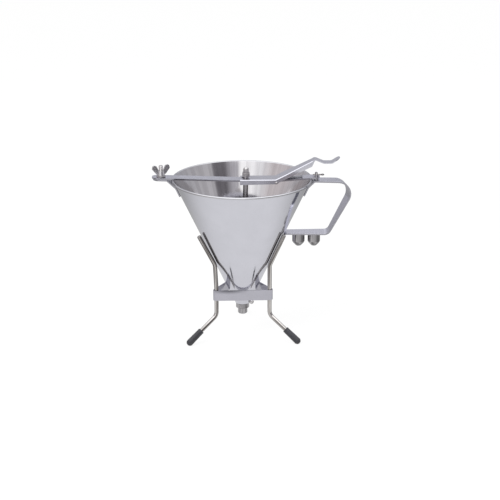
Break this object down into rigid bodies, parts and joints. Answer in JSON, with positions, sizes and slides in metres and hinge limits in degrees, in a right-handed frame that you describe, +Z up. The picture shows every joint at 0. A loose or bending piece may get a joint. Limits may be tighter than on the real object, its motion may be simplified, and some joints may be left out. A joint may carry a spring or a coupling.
{
  "type": "piston funnel batter dispenser on wire stand",
  "caption": "Conical stainless funnel with a lever-lifted valve rod, clamped bridge bar, strap handle, screw-on nozzles and a three-legged wire stand",
  "frame": {"origin": "on the funnel's axis at table level, in the plane of the feet", "axes": "+X from the funnel's axis towards the handle, +Z up, +Y away from the side with two feet"},
  "size_m": [0.272, 0.1944, 0.2588],
  "materials": {
    "cone_steel": "bright polished outside, brushed round inside",
    "strap_steel": "satin brushed strap",
    "turned_steel": "turned",
    "nozzle_steel": "turned, satin",
    "cast_steel": "cast and tumbled",
    "wire_steel": "drawn and polished wire",
    "spring_steel": "rolled spring strip",
    "foot_rubber": "moulded, soft sheen"
  },
  "bodies": {
    "stand": {"leg_left": "wire_steel", "leg_right": "wire_steel", "leg_back": "wire_steel", "foot_left": "foot_rubber", "foot_right": "foot_rubber", "foot_back": "foot_rubber", "stand_band": "strap_steel"},
    "funnel": {"funnel_cone": "cone_steel", "outlet_socket": "turned_steel", "socket_lug": "turned_steel", "handle": "strap_steel", "nozzle_stud_inner": "turned_steel", "nozzle_stud_outer": "turned_steel", "clamp_bracket": "strap_steel", "clamp_stud": "turned_steel", "clamp_washer": "turned_steel", "bridge_bar": "strap_steel", "hook_stud": "turned_steel"},
    "lever": {"lever": "strap_steel", "pivot_pin": "turned_steel", "pivot_washers": "turned_steel", "return_spring": "spring_steel"},
    "rod": {"valve_rod": "turned_steel", "rod_nut": "turned_steel", "rod_cap_nut": "turned_steel"},
    "wing_nut": {"wing_nut": "cast_steel"},
    "retaining_pin": {"retaining_pin": "wire_steel"},
    "fitted_nozzle": {"fitted_nozzle": "nozzle_steel"},
    "spare_nozzle_inner": {"spare_nozzle_inner": "nozzle_steel"},
    "spare_nozzle_outer": {"spare_nozzle_outer": "nozzle_steel"}
  },
  "joints": [
    {"name": "funnel_lift", "type": "slide", "parent": "stand", "child": "funnel", "axis": [0, 0, 1], "range_m": [0, 0.14]},
    {"name": "lever_tilt", "type": "hinge", "parent": "funnel", "child": "lever", "pos_m": [0.047, 0, 0.2249], "axis": [0, 1, 0], "range_deg": [0, 12], "stiffness_Nm_per_rad": 0.15, "springref_deg": -20.05, "deforming": ["return_spring"]},
    {"name": "rod_lift", "type": "slide", "parent": "funnel", "child": "rod", "axis": [0.029, 0, 0.9996], "range_m": [0, 0.0083]},
    {"name": "wing_nut_turn", "type": "hinge", "parent": "funnel", "child": "wing_nut", "pos_m": [-0.111, 0, 0.234], "axis": [0, 0, 1], "continuous": true},
    {"name": "retaining_pin_pull", "type": "slide", "parent": "funnel", "child": "retaining_pin", "axis": [1, 0, 0], "range_m": [0, 0.008]},
    {"name": "fitted_nozzle_turn", "type": "hinge", "parent": "funnel", "child": "fitted_nozzle", "pos_m": [0, 0, 0.04], "axis": [0, 0, 1], "continuous": true},
    {"name": "spare_nozzle_inner_turn", "type": "hinge", "parent": "funnel", "child": "spare_nozzle_inner", "pos_m": [0.0782, 0, 0.14], "axis": [0, 0, 1], "continuous": true},
    {"name": "spare_nozzle_outer_turn", "type": "hinge", "parent": "funnel", "child": "spare_nozzle_outer", "pos_m": [0.0997, 0, 0.14], "axis": [0, 0, 1], "continuous": true}
  ],
  "couplings": [
    {"joint": "rod_lift", "follows": "lever_tilt", "m_per_rad": 0.0392}
  ]
}
